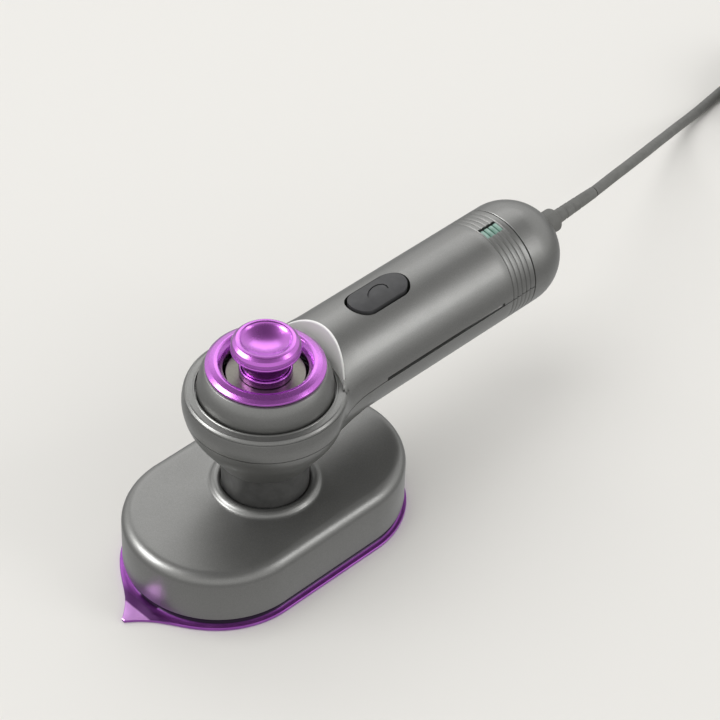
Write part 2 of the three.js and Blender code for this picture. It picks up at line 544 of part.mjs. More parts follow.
function buildPlug() {
  const { x, rear, front, half, height, pin, pinLength, pitch } = PLUG;
  const shape = new THREE.Shape();
  const side = [[4.4, rear - 0.1], [7, rear - 7], [half, rear - 16], [half, front + 2], [half - 2, front]];
  const outline = [...side, ...side.map(([along, y]) => [-along, y]).reverse()];
  outline.forEach(([along, y], index) => (index ? shape.lineTo(x + along, y) : shape.moveTo(x + along, y)));
  shape.closePath();
  part('plug_body', extruded(shape, 0, height), 'rubber');
  [['left', -pitch / 2], ['right', pitch / 2]].forEach(([name, offset]) => {
    const start = new THREE.Vector3(x + offset, front - GAP, height / 2);
    const end = new THREE.Vector3(x + offset, front - pinLength, height / 2);
    part(`plug_pin_${name}`, acrossRod(pin, start, end), 'brass');
  });
}

buildSoleplate();
buildHeater();
buildCasing();
buildSpindle();
buildUpperShell();
buildLowerShell();
buildRear();
buildDome();
buildPump();
buildTank();
buildControls();
buildLead();
buildPlug();

export default steamer;
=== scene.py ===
# Looks of the handheld steamer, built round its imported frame. Meshes are drawn in millimetres and scaled to
# metres as they are made. Cameras, lights and materials are in metres.
import math
import bmesh
import bpy
from mathutils import Matrix, Vector


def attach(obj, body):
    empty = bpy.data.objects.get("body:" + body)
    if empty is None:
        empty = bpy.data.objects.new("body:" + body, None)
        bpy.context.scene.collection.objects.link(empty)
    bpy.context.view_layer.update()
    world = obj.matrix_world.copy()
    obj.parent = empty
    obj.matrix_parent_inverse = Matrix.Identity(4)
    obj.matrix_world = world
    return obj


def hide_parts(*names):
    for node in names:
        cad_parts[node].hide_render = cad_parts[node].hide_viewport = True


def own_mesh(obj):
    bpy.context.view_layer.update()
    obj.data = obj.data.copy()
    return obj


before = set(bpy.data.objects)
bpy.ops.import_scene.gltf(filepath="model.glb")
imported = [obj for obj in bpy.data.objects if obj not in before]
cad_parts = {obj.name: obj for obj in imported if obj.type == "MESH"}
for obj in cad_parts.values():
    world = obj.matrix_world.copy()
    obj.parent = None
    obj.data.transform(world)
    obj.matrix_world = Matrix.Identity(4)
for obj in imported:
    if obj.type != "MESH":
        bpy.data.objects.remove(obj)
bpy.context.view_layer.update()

MM = 0.001
GRIP_AXIS = 58.2            # height of the grip's axis
GRIP_RADIUS = 19.0
BORE_RADIUS = 17.0          # inside of the grip's wall
GRIP_END = 133.6
CAP_START = 110.0
BAND_START = 94.5           # where the fine grooves begin
HEAD_HALF = 21.2            # half the straight length of the oval head
HEAD_RADIUS = 32.6
HEAD_BOTTOM = 4.4
HEAD_TOP = 23.7
HUB_RIM = 66.2
RECESS_RADIUS = 25.5
CORD_RADIUS = 2.0
RELIEF_RISE = 2.2
GAP = 0.3


# ---- camera and light --------------------------------------------------------------------
# Brightness of the room by direction: 0 is straight down, 0.5 the horizon and 1 straight up.
ROOM_LEVELS = [(0.0, 0.56), (0.17, 0.56), (0.3, 0.34), (0.445, 0.36), (0.54, 0.95), (0.8, 0.92), (0.9, 0.3),
               (1.0, 0.13)]


def place_camera():
    azimuth, elevation, roll = (math.radians(a) for a in (-45.47, 41.73, 1.86))
    distance = 1.0497
    target = Vector((0.04787, 0.00407, 0.0461))
    back = Vector((math.cos(elevation) * math.sin(azimuth), -math.cos(elevation) * math.cos(azimuth),
                   math.sin(elevation)))
    level = Vector((math.cos(azimuth), math.sin(azimuth), 0))
    rise = back.cross(level)
    right = level * math.cos(roll) + rise * math.sin(roll)
    up = rise * math.cos(roll) - level * math.sin(roll)
    data = bpy.data.cameras.new("camera")
    data.lens = 153.65
    data.sensor_width = 36
    data.clip_start = 0.05
    data.clip_end = 20
    camera = bpy.data.objects.new("camera", data)
    bpy.context.scene.collection.objects.link(camera)
    turn = Matrix((right, up, back)).transposed().to_4x4()
    camera.matrix_world = Matrix.Translation(target + back * distance) @ turn
    bpy.context.scene.camera = camera


def area_light(name, place, aim, size, watts):
    data = bpy.data.lights.new(name, "AREA")
    data.shape = "RECTANGLE"
    data.size, data.size_y = size
    data.energy = watts
    light = bpy.data.objects.new(name, data)
    bpy.context.scene.collection.objects.link(light)
    light.location = place
    light.rotation_euler = (Vector(aim) - Vector(place)).to_track_quat("-Z", "Y").to_euler()
    return light


def light_the_room():
    """A window to the left, a softbox behind, a strip to the right and a broad ceiling, in a dim room."""
    scene = bpy.context.scene
    scene.view_settings.view_transform = "Standard"
    world = bpy.data.worlds.new("room")
    scene.world = world
    world.use_nodes = True
    nodes, links = world.node_tree.nodes, world.node_tree.links
    direction = nodes.new("ShaderNodeTexCoord").outputs["Generated"]
    split = nodes.new("ShaderNodeSeparateXYZ")
    spread = nodes.new("ShaderNodeMapRange")
    spread.inputs["From Min"].default_value = -1
    ramp = nodes.new("ShaderNodeValToRGB")
    points = ramp.color_ramp.elements
    while len(points) < len(ROOM_LEVELS):
        points.new(0.5)
    for point, (position, level) in zip(points, ROOM_LEVELS):
        point.position = position
        point.color = (level, level, level * 0.99, 1)
    links.new(direction, split.inputs["Vector"])
    links.new(split.outputs["Z"], spread.inputs["Value"])
    links.new(spread.outputs["Result"], ramp.inputs["Fac"])
    links.new(ramp.outputs["Color"], nodes["Background"].inputs["Color"])
    aim = (0.02, 0, 0.03)
    area_light("left_window", (-1.3, 1.15, 1.35), aim, (1.05, 1.05), 36).visible_diffuse = False
    area_light("ceiling", (-0.42, 0.36, 1.8), aim, (1.5, 1.5), 14.5).visible_glossy = False
    area_light("back_softbox", (0.95, 0.95, 1.25), aim, (1.6, 0.9), 5.5)
    area_light("right_strip", (0.95, -1.3, 1.0), aim, (0.4, 1.0), 5)


def lay_floor():
    bm = bmesh.new()
    bmesh.ops.create_grid(bm, x_segments=1, y_segments=1, size=6)
    floor = new_object("floor", bm)
    floor.visible_glossy = False
    material = bpy.data.materials.new("pale_floor")
    material.use_nodes = True
    shader = material.node_tree.nodes["Principled BSDF"]
    shader.inputs["Base Color"].default_value = (0.80, 0.785, 0.755, 1)
    shader.inputs["Roughness"].default_value = 0.9
    shader.inputs["Specular IOR Level"].default_value = 0.1
    floor.data.materials.append(material)


# ---- mesh work ---------------------------------------------------------------------------
CORNER_STEPS = 6


def new_object(name, bm):
    mesh = bpy.data.meshes.new(name)
    bm.to_mesh(mesh)
    bm.free()
    piece = bpy.data.objects.new(name, mesh)
    bpy.context.scene.collection.objects.link(piece)
    return piece


def quarter_turn(bm, axis, way=1):
    """Turns a bmesh by 90 degrees about an axis through the origin."""
    turn = Matrix.Rotation(way * math.pi / 2, 3, axis)
    bmesh.ops.rotate(bm, cent=(0, 0, 0), matrix=turn, verts=bm.verts)


def to_metres(bm):
    bmesh.ops.scale(bm, vec=(MM, MM, MM), verts=bm.verts)


def solid_from(bm, name):
    """Merges doubles, turns the faces outwards, scales to metres and gives the object."""
    bmesh.ops.remove_doubles(bm, verts=bm.verts, dist=1e-4)
    bmesh.ops.recalc_face_normals(bm, faces=bm.faces)
    to_metres(bm)
    return new_object(name, bm)


def rounded(points, closed=False):
    """A profile of [radius, height, corner radius]: each corner with a third number becomes an arc."""
    result = []
    count = len(points)
    for i, point in enumerate(points):
        here = Vector(point[:2])
        fillet = point[2] if len(point) > 2 else 0
        if not fillet or (not closed and i in (0, count - 1)):
            result.append(here)
            continue
        before = Vector(points[i - 1][:2])
        after = Vector(points[(i + 1) % count][:2])
        into, out = (before - here), (after - here)
        half = into.angle(out) / 2
        reach = min(fillet / math.tan(half), 0.49 * into.length, 0.49 * out.length)
        start = here + into.normalized() * reach
        end = here + out.normalized() * reach
        for step in range(CORNER_STEPS + 1):
            t = step / CORNER_STEPS
            result.append(start * (1 - t) ** 2 + here * 2 * t * (1 - t) + end * t ** 2)
    return result


def turned(profile, steps=96, centre=(0, 0, 0), closed=False):
    """A bmesh turned about Z from a [radius, height, corner] profile in millimetres."""
    bm = bmesh.new()
    verts = [bm.verts.new((p[0], 0, p[1])) for p in rounded(profile, closed)]
    ends = verts[1:] + verts[:1] if closed else verts[1:]
    edges = [bm.edges.new(pair) for pair in zip(verts, ends)]
    bmesh.ops.spin(bm, geom=verts + edges, cent=(0, 0, 0), axis=(0, 0, 1), angle=2 * math.pi, steps=steps,
                   use_merge=True)
    bmesh.ops.remove_doubles(bm, verts=bm.verts, dist=1e-4)
    bmesh.ops.recalc_face_normals(bm, faces=bm.faces)
    bmesh.ops.translate(bm, vec=centre, verts=bm.verts)
    return bm


def rod(radius, bottom, top, steps=96, centre=(0, 0, 0)):
    """An upright round rod."""
    return turned([(0, bottom), (radius, bottom), (radius, top), (0, top)], steps=steps, centre=centre)


def along_grip(profile, steps=128, rise=0.0, closed=False):
    """A bmesh turned about the grip's axis from an [x, radius, corner] profile in millimetres."""
    bm = turned([(p[1], p[0], *p[2:]) for p in profile], steps=steps, closed=closed)
    quarter_turn(bm, "Y")
    bmesh.ops.translate(bm, vec=(0, 0, GRIP_AXIS + rise), verts=bm.verts)
    return bm


def block(low, high):
    bm = bmesh.new()
    bmesh.ops.create_cube(bm, size=1)
    size = Vector(high) - Vector(low)
    bmesh.ops.scale(bm, vec=size, verts=bm.verts)
    bmesh.ops.translate(bm, vec=Vector(low) + size / 2, verts=bm.verts)
    return bm


def prism(outline, bottom, top):
    """A bmesh prism on an outline of [x, y] points in millimetres."""
    bm = bmesh.new()
    face = bm.faces.new([bm.verts.new((x, y, bottom)) for x, y in outline])
    lifted = bmesh.ops.extrude_face_region(bm, geom=[face])
    verts = [v for v in lifted["geom"] if isinstance(v, bmesh.types.BMVert)]
    bmesh.ops.translate(bm, vec=(0, 0, top - bottom), verts=verts)
    bmesh.ops.recalc_face_normals(bm, faces=bm.faces)
    return bm


def oval(half, radius, count=64, centre=(0, 0)):
    """Points of an oval with straight sides along X."""
    points = []
    for i in range(count):
        angle = (i + 0.5) / count * 2 * math.pi
        shift = math.copysign(half, math.cos(angle))
        points.append((centre[0] + shift + radius * math.cos(angle), centre[1] + radius * math.sin(angle)))
    return points


def lofted(loops, capped=False):
    """A closed bmesh through loops of equal count: the last joins the first, or each end gets a face."""
    bm = bmesh.new()
    rings = [[bm.verts.new(point) for point in loop] for loop in loops]
    rims = [[bm.edges.new(pair) for pair in zip(ring, ring[1:] + ring[:1])] for ring in rings]
    followers = rims[1:] if capped else rims[1:] + rims[:1]
    for lower, upper in zip(rims, followers):
        bmesh.ops.bridge_loops(bm, edges=lower + upper)
    if capped:
        for ring in (rings[0], rings[-1]):
            bm.faces.new(ring)
    bmesh.ops.recalc_face_normals(bm, faces=bm.faces)
    return bm


def bake_modifiers(piece):
    graph = bpy.context.evaluated_depsgraph_get()
    mesh = bpy.data.meshes.new_from_object(piece.evaluated_get(graph))
    piece.modifiers.clear()
    piece.data = mesh


def carve_object(piece, tool, operation="DIFFERENCE"):
    """Cuts an object out of a piece, or joins or intersects the two, and uses the object up."""
    modifier = piece.modifiers.new("carve", "BOOLEAN")
    modifier.operation = operation
    modifier.solver = "EXACT"
    modifier.object = tool
    bpy.context.view_layer.update()
    bake_modifiers(piece)
    bpy.data.objects.remove(tool)
    return piece


def carve(piece, *tools, operation="DIFFERENCE"):
    """As carve_object, with bmeshes for tools."""
    for bm in tools:
        carve_object(piece, solid_from(bm, "tool"), operation)
    return piece


def join_into(piece, *others):
    bm = bmesh.new()
    bm.from_mesh(piece.data)
    for other in others:
        bm.from_mesh(other.data)
        bpy.data.objects.remove(other)
    bm.to_mesh(piece.data)
    bm.free()
    return piece


def dress(piece, body, material, slot, *nodes, angle=32):
    """Shades a finished piece, gives it its material and puts it on its body in place of its CAD nodes."""
    piece.data.shade_smooth()
    piece.data.set_sharp_from_angle(angle=math.radians(angle))
    piece.data.materials.clear()
    piece.data.materials.append(material)
    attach(piece, body)
    if nodes:
        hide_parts(*nodes)
    return piece


# ---- materials ---------------------------------------------------------------------------
class Finish:
    """A material's node tree, with short calls for what the finishes here share."""

    def __init__(self, name):
        self.material = bpy.data.materials.new(name)
        self.material.use_nodes = True
        self.nodes = self.material.node_tree.nodes
        self.links = self.material.node_tree.links
        self.shader = self.nodes["Principled BSDF"]
        self.place = self.nodes.new("ShaderNodeTexCoord").outputs["Object"]

    def set(self, **values):
        for name, value in values.items():
            self.shader.inputs[name.replace("_", " ")].default_value = value
        return self

    def noise(self, scale, detail=3.0, stretch=None):
        texture = self.nodes.new("ShaderNodeTexNoise")
        texture.inputs["Scale"].default_value = scale
        texture.inputs["Detail"].default_value = detail
        place = self.place
        if stretch:
            mapping = self.nodes.new("ShaderNodeMapping")
            mapping.inputs["Scale"].default_value = stretch
            self.links.new(place, mapping.inputs["Vector"])
            place = mapping.outputs["Vector"]
        self.links.new(place, texture.inputs["Vector"])
        return texture.outputs["Fac"]

    def ramp(self, value, *stops):
        ramp = self.nodes.new("ShaderNodeValToRGB")
        points = ramp.color_ramp.elements
        while len(points) < len(stops):
            points.new(0.5)
        for point, (position, colour) in zip(points, stops):
            point.position = position
            point.color = (*colour, 1)
        self.links.new(value, ramp.inputs["Fac"])
        return ramp.outputs["Color"]

    def between(self, value, low, high):
        """A value from 0 to 1 spread over a new range."""
        spread = self.nodes.new("ShaderNodeMapRange")
        spread.inputs["To Min"].default_value = low
        spread.inputs["To Max"].default_value = high
        self.links.new(value, spread.inputs["Value"])
        return spread.outputs["Result"]

    def along(self, axis, low, high):
        """0 at one place along an axis, in metres, and 1 at another."""
        split = self.nodes.new("ShaderNodeSeparateXYZ")
        self.links.new(self.place, split.inputs["Vector"])
        spread = self.nodes.new("ShaderNodeMapRange")
        spread.inputs["From Min"].default_value = low
        spread.inputs["From Max"].default_value = high
        self.links.new(split.outputs[axis], spread.inputs["Value"])
        return spread.outputs["Result"]

    def mix(self, factor, first, second):
        node = self.nodes.new("ShaderNodeMix")
        node.data_type = "RGBA"
        self.links.new(factor, node.inputs["Factor"])
        for socket, value in ((node.inputs["A"], first), (node.inputs["B"], second)):
            if isinstance(value, tuple):
                socket.default_value = (*value, 1)
            else:
                self.links.new(value, socket)
        return node.outputs["Result"]

    def bump(self, height, strength, distance):
        bump = self.nodes.new("ShaderNodeBump")
        bump.inputs["Strength"].default_value = strength
        bump.inputs["Distance"].default_value = distance
        self.links.new(height, bump.inputs["Height"])
        self.links.new(bump.outputs["Normal"], self.shader.inputs["Normal"])
        return self

    def feed(self, socket, value):
        self.links.new(value, self.shader.inputs[socket])
        return self


def satin_lacquer(name="satin_grey_lacquer", dark=0.20, light=0.26, metallic=0.82):
    """Grey metallic lacquer: fine flakes in the colour and a faint orange peel."""
    finish = Finish(name).set(Metallic=metallic, Coat_Weight=0.2, Coat_Roughness=0.15)
    tones = [(tone, tone, tone * 0.97) for tone in (dark, light)]
    finish.feed("Base Color", finish.ramp(finish.noise(5200, 2), (0.35, tones[0]), (0.7, tones[1])))
    finish.feed("Roughness", finish.between(finish.noise(90, 4), 0.34, 0.44))
    return finish.bump(finish.noise(2600, 2), 0.08, 0.00005).material


def purple_metal(name, base, bright, roughness):
    """Glossy purple metal look, faintly clouded under a clear coat."""
    finish = Finish(name).set(Metallic=0.95, Coat_Weight=1.0, Coat_Roughness=0.25, Coat_IOR=2.1)
    finish.feed("Base Color", finish.ramp(finish.noise(160, 3), (0.3, base), (0.75, bright)))
    finish.feed("Roughness", finish.between(finish.noise(420, 3), roughness * 0.95, roughness * 1.05))
    return finish.bump(finish.noise(1400, 2), 0.03, 0.00001).material


def plate_coat_with_painted_light():
    """Purple coat of the hot plate with painted light: a near-black painted shade in the hollow under the
    casing, a dark painted shade at the point's foot and a pale painted highlight on the point.
    """
    finish = Finish("purple_plate_coat").set(Metallic=0.9, Coat_Weight=0.2, Coat_Roughness=0.15)
    rim = finish.ramp(finish.noise(160, 3), (0.3, (0.30, 0.07, 0.40)), (0.75, (0.38, 0.10, 0.49)))
    # Painted shade: a dark band at the point's foot, in front of the casing.
    shelf = finish.mix(finish.along(0, -0.0525, -0.0548), rim, (0.10, 0.022, 0.135))
    # Painted highlight: the point's shelf turns pale lilac towards the tip, where light falls on it.
    shelf = finish.mix(finish.along(0, -0.0576, -0.0582), shelf, (0.59, 0.29, 0.68))
    # The rim keeps its own purple below about 1.2 mm; higher up the shelf's painted shade and painted
    # highlight take over.
    coat = finish.mix(finish.along(2, 0.00115, 0.00135), rim, shelf)
    # Painted shade: the flank rising into the hollow under the casing turns near-black.
    finish.feed("Base Color", finish.mix(finish.along(2, 0.00154, 0.0019), coat, (0.012, 0.003, 0.018)))
    finish.feed("Roughness", finish.between(finish.noise(420, 3), 0.3, 0.42))
    return finish.bump(finish.noise(3000, 2), 0.05, 0.00003).material


def plain_metal(name, dark, light, roughness, grain=(1, 1, 1), scale=900):
    """Plain metal with fine streaks along its grain."""
    finish = Finish(name).set(Metallic=1.0)
    streaks = finish.noise(scale, 4, grain)
    finish.feed("Base Color", finish.ramp(streaks, (0.3, dark), (0.75, light)))
    finish.feed("Roughness", finish.between(streaks, roughness * 0.8, roughness * 1.25))
    return finish.bump(streaks, 0.12, 0.00004).material


def moulded(name, dark, light, roughness, grain=2200, bump=0.15):
    """Moulded plastic or rubber with a fine spark-eroded grain."""
    finish = Finish(name).set(Metallic=0.0, Specular_IOR_Level=0.4)
    finish.feed("Base Color", finish.ramp(finish.noise(300, 3), (0.3, dark), (0.75, light)))
    finish.feed("Roughness", finish.between(finish.noise(700, 3), roughness * 0.85, roughness * 1.15))
    return finish.bump(finish.noise(grain, 2), bump, 0.00006).material


def mint_glass():
    """Cloudy mint glass of the indicator's window."""
    finish = Finish("mint_lens").set(Metallic=0.0, Coat_Weight=0.4, Coat_Roughness=0.08)
    clouds = finish.ramp(finish.noise(500, 2), (0.35, (0.15, 0.27, 0.22)), (0.7, (0.24, 0.39, 0.33)))
    finish.feed("Base Color", clouds)
    finish.feed("Roughness", finish.between(finish.noise(300, 2), 0.2, 0.32))
    return finish.bump(finish.noise(900, 2), 0.1, 0.00004).material


GREY = satin_lacquer()
# Painted highlight: the body's grey lacquer made near-white and not metallic, for the lit wall and rounded
# edge of the scoop round the recess.
HIGHLIGHT_PAINTED_GREY = satin_lacquer("grey_lacquer_painted_highlight", 0.90, 0.94, 0.0)
PURPLE = purple_metal("purple_gloss", (0.46, 0.042, 0.57), (0.52, 0.058, 0.63), 0.27)
# The hot plate's purple, with painted shade in the hollow and at the point's foot and a painted highlight on
# the point.
PLATE_PURPLE_WITH_PAINTED_LIGHT = plate_coat_with_painted_light()
SILVER = plain_metal("turned_silver", (0.175, 0.168, 0.147), (0.22, 0.212, 0.187), 0.34)
CHARCOAL = moulded("charcoal_plastic", (0.045, 0.045, 0.047), (0.06, 0.06, 0.062), 0.5)
NECK_DARK = moulded("dark_neck_plastic", (0.05, 0.05, 0.049), (0.075, 0.075, 0.073), 0.42)
RUBBER = moulded("grey_rubber", (0.125, 0.125, 0.118), (0.16, 0.16, 0.152), 0.62)
STEEL = plain_metal("bright_steel", (0.42, 0.42, 0.41), (0.56, 0.56, 0.55), 0.3, (1, 1, 6))
CAST = plain_metal("cast_alloy", (0.34, 0.34, 0.33), (0.46, 0.46, 0.45), 0.55, scale=1400)
BRASS = plain_metal("plain_brass", (0.52, 0.38, 0.16), (0.66, 0.50, 0.24), 0.28, (1, 6, 1))
WHITE = moulded("white_plastic", (0.66, 0.65, 0.61), (0.74, 0.73, 0.69), 0.5)
CLEAR = moulded("milky_tank_plastic", (0.5, 0.58, 0.58), (0.6, 0.68, 0.68), 0.25, bump=0.05)
BOARD = moulded("board_green", (0.03, 0.13, 0.05), (0.05, 0.19, 0.08), 0.45, grain=900)
MINT_GLASS = mint_glass()
SILICONE = moulded("cream_silicone", (0.6, 0.57, 0.5), (0.7, 0.67, 0.6), 0.6)


# ---- lead --------------------------------------------------------------------------------
LEAD_ROUTE = [
    (159.8, 0, 61.4), (166, 0.7, 61.3), (172, 1.9, 60.5), (179, 3.8, 58.7), (186, 6.2, 56.2),
    (194, 9.6, 52.5), (202, 13.4, 48.2), (210, 17.6, 43.3), (218, 22.1, 38.1), (226, 26.6, 32.8),
    (234, 31.2, 27.4), (242, 35.7, 22.1), (250, 39.9, 17.2), (258, 43.9, 12.7), (266, 47.4, 8.8),
    (274, 50.4, 5.6), (282, 52.7, 3.4), (290, 54.4, 2.3), (299, 55.8, 2.1), (308, 56.9, 2.2),
]
PLUG_ROUTE = [
    (354.2, 16.6, 14.9), (354.1, 10, 12.4), (353.6, 2, 8.2), (352.8, -8, 5.2), (352.2, -16, 5.6),
    (352, -24.7, 6.5),
]
COIL_CENTRE = (328, 32)
COIL_LOW = 2.9              # height of the lowest layer's middle
COIL_PITCH = 4.0            # from one turn to the next, across and up
COIL_COLUMNS = (25.9, 21.9, 17.9)
COIL_LAYERS = 4
COIL_TURNS = 9.25
PACE = math.radians(280)    # travel from one change of place to the next
SHIFT = math.radians(90)    # travel over which the lead changes place


def coil_points():
    """The wound part: in along the first layer, out along the next, and so on upwards."""
    places = []
    for layer in range(COIL_LAYERS):
        columns = COIL_COLUMNS if layer % 2 == 0 else COIL_COLUMNS[::-1]
        places += [(radius, COIL_LOW + COIL_PITCH * layer) for radius in columns]
    points = []
    steps = round(COIL_TURNS * 24)
    for step in range(steps + 1):
        travel = step / steps * COIL_TURNS * 2 * math.pi
        index = min(int(travel / PACE), len(places) - 1)
        after = min(index + 1, len(places) - 1)
        t = max(0.0, (travel - index * PACE - (PACE - SHIFT)) / SHIFT)
        t = t * t * (3 - 2 * t) if index < len(places) - 1 else 0
        radius = places[index][0] * (1 - t) + places[after][0] * t
        height = places[index][1] * (1 - t) + places[after][1] * t
        angle = math.pi / 2 - travel
        x = COIL_CENTRE[0] + radius * math.cos(angle)
        y = COIL_CENTRE[1] + radius * math.sin(angle)
        points.append((x, y, height))
    return points


def build_lead():
    """The whole lead as one curve: down to the surface, round the coil and on to the plug."""
    points = LEAD_ROUTE + coil_points() + PLUG_ROUTE
    curve = bpy.data.curves.new("mains_lead", "CURVE")
    curve.dimensions = "3D"
    curve.bevel_depth = CORD_RADIUS * MM
    curve.bevel_resolution = 5
    curve.resolution_u = 4
    curve.use_fill_caps = True
    spline = curve.splines.new("BEZIER")
    spline.bezier_points.add(len(points) - 1)
    for knot, point in zip(spline.bezier_points, points):
        knot.co = Vector(point) * MM
        knot.handle_left_type = knot.handle_right_type = "AUTO"
    lead = bpy.data.objects.new("mains_lead", curve)
    bpy.context.scene.collection.objects.link(lead)
    curve.materials.append(RUBBER)
    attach(lead, "handle")
    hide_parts("mains_cord", "cord_coil", "plug_lead")
    return lead


# ---- head --------------------------------------------------------------------------------
PLATE_RADIUS = 33.4
TIP_REACH = 10.4            # how far the hot plate's point stands out of its oval
TIP_WIDTH = math.radians(9.5)
PLATE_TOP = 3.0
STEAM_HOLES = 12
COVER_EDGE = 4.3            # rounding of the casing's top edge
COVER_WALL = 1.8
LIP_PROFILE = [(21.5, 0.03), (20.0, 0.04), (19.25, 0.14), (18.8, 0.42), (18.5, 0.85), (18.1, 1.25),
               (17.5, 1.58), (16.8, 1.72), (16.1, 1.62), (15.5, 1.3), (15.15, 0.8), (15.0, 0.2),
               (15.0, -COVER_WALL)]


def head_loop(radius, height, tip=0.0, half=HEAD_HALF, count=240):
    """An oval loop; tip pulls its front out in two hollow curves that meet in a point."""
    loop = []
    for i in range(count):
        angle = (i + 0.5) / count * 2 * math.pi
        from_front = abs(math.pi - angle)
        reach = radius + tip * math.exp(-from_front / TIP_WIDTH)
        shift = math.copysign(half, math.cos(angle))
        loop.append((shift + reach * math.cos(angle), reach * math.sin(angle), height))
    return loop


def build_hot_plate():
    """A flat plate: a thin bright rim, a hollow flank under the casing and a shelf at the point."""
    flank = [(4, 0, 0.8), (0.7, 0, 1), (0.2, 0.15, 1), (0, 0.5, 1), (0, 1.25, 1), (0.15, 1.45, 0.99),
             (0.5, 1.5, 0.95), (1.0, 1.45, 0.4), (1.4, 1.55, 0.12), (1.9, 1.9, 0), (2.3, 2.4, 0),
             (2.5, PLATE_TOP, 0), (2.6, PLATE_TOP, 0)]
    loops = [head_loop(PLATE_RADIUS - inset, height, TIP_REACH * share) for inset, height, share in flank]
    plate = solid_from(lofted(loops + [head_loop(5, PLATE_TOP), head_loop(5, 0)]), "hot_plate")
    carve(plate, prism(oval(HEAD_HALF, 5.3, 240), 0, PLATE_TOP), operation="UNION")
    hole = [(0, -1), (2.1, -1), (2.1, 0), (1.3, 0.8), (1.3, 4), (0, 4)]
    for i in range(STEAM_HOLES):
        angle = (i + 0.5) / STEAM_HOLES * 2 * math.pi
        x = math.copysign(HEAD_HALF * 0.6, math.cos(angle)) + 24 * math.cos(angle) * 0.8
        carve(plate, turned(hole, steps=24, centre=(x, 24 * math.sin(angle) * 0.85, 0)))
    dress(plate, "head", PLATE_PURPLE_WITH_PAINTED_LIGHT, "purple_plate", "soleplate")


def build_head_cover():
    """The oval casing: upright flanks, a rounded top edge and a soft lip round the neck."""
    def edge_loop(inset, rounding, angle):
        drop = inset + rounding * (1 - math.sin(angle))
        return head_loop(HEAD_RADIUS - inset - rounding * (1 - math.cos(angle)), HEAD_TOP - drop)

    foot = [(COVER_WALL, 0), (0.5, 0), (0.1, 0.15), (0, 0.5)]
    loops = [head_loop(HEAD_RADIUS - inset, HEAD_BOTTOM + rise) for inset, rise in foot]
    loops += [edge_loop(0, COVER_EDGE, step / 9 * math.pi / 2) for step in range(10)]
    loops.append(head_loop(HEAD_RADIUS - COVER_EDGE - 1.5, HEAD_TOP + 0.03))
    loops += [head_loop(r, HEAD_TOP + rise, half=0.0) for r, rise in LIP_PROFILE]
    loops.append(head_loop(21, HEAD_TOP - COVER_WALL, half=0.0))
    inner = COVER_EDGE - COVER_WALL
    loops += [edge_loop(COVER_WALL, inner, step / 5 * math.pi / 2) for step in range(5, -1, -1)]
    cover = solid_from(lofted(loops), "head_cover")
    low = HEAD_TOP - COVER_WALL
    floor = turned([(5, low), (15.6, low), (15.6, HEAD_TOP), (5, HEAD_TOP)], closed=True, steps=64)
    carve(cover, floor, operation="UNION")
    dress(cover, "head", GREY, "satin_grey", "head_casing")


def build_neck():
    """The dark sleeve between the head and the grip."""
    profile = [(12.6, 24), (14.9, 24, 0.3), (14.9, 36.6, 0.4), (14.4, 36.9), (14.4, 39.2), (12.6, 39.2)]
    neck = solid_from(turned(profile, closed=True), "neck_tube")
    dress(neck, "head", NECK_DARK, "charcoal", "neck_sleeve")


# ---- grip shells -------------------------------------------------------------------------
HUB_PROFILE = [(16.4, 37.4), (17.35, 39), (19.2, 41.9), (21.9, 45.9), (24.5, 49.9), (26.4, 53.9),
               (27.45, 57.7), (27.8, 61), (27.35, 64.3), (26.5, 66.2)]
HUB_HOLLOW = [(0, 43), (17.6, 43), (20, 46), (22.6, 50), (24.4, 54), (25.2, 58), (23.6, 60.6), (19.5, 61.6),
              (19.5, 63.4), (23.1, 63.4), (23.1, 65.7), (23.5, HUB_RIM + 0.05), (23.5, 70), (0, 70)]
HUB_SEAM = 57.2             # the shells' meeting line round the hub
RIM_SEAM = 64.7
FLARE_FROM = 16
FLARE_TO = 34
FLARE_GROWTH = 2.4          # how much wider the tube is where it runs into the hub
SOFTENING = 420             # smoothing passes over the junction
SCOOP_SPREAD = math.radians(41.5)   # how far round the recess the tube stands above it, to each side
SCOOP_ROUND = 0.55
SCOOP_LEAN = 0.17           # how far the scoop's wall leans out, per height
SCOOP_REACH = RECESS_RADIUS + SCOOP_ROUND + 0.12
SCOOP_FOOT = 62.4
SLOT_FROM = 38
SLOT_TO = 95
SLOT_TOP = 59.25
GROOVES = 5
GROOVE_START = 98.9
GROOVE_PITCH = 2.1
BUTTON_X = 51
BUTTON_HALF = 6.6
BUTTON_RADIUS = 5.4
BUTTON_CROWN = 19.65        # radius of the button's top about the grip's axis
BUTTON_GAP = 1.0
LENS_LOW = (99.5, -4.8)
LENS_HIGH = (107.0, -1.0)
LENS_SLIT = 1.0             # dark opening along the lens's far side
TANK_PLUG_X = 82
SCREW_PLACES = (44, 105)


def hub_flank():
    """A smooth curve through the hub profile's points."""
    flank = []
    count = len(HUB_PROFILE)
    for i in range(count - 1):
        p0, p1, p2, p3 = (Vector(HUB_PROFILE[max(0, min(count - 1, i + k))]) for k in (-1, 0, 1, 2))
        for step in range(4):
            t = step / 4
            point = 0.5 * (2 * p1 + (p2 - p0) * t + (2 * p0 - 5 * p1 + 4 * p2 - p3) * t * t
                           + (3 * p1 - p0 - 3 * p2 + p3) * t ** 3)
            flank.append(tuple(point))
    return flank + [HUB_PROFILE[-1]]


def hub_solid():
    return turned([(0, HUB_PROFILE[0][1]), *hub_flank(), (0, HUB_RIM)], steps=160)


def hub_hollow():
    return turned(HUB_HOLLOW, steps=96)


def hub_radius(height):
    """The hub's radius at a height, along its smooth flank."""
    flank = hub_flank()
    for (r0, z0), (r1, z1) in zip(flank, flank[1:]):
        if z0 <= height <= z1:
            return r0 + (r1 - r0) * (height - z0) / (z1 - z0)
    return flank[-1][0]


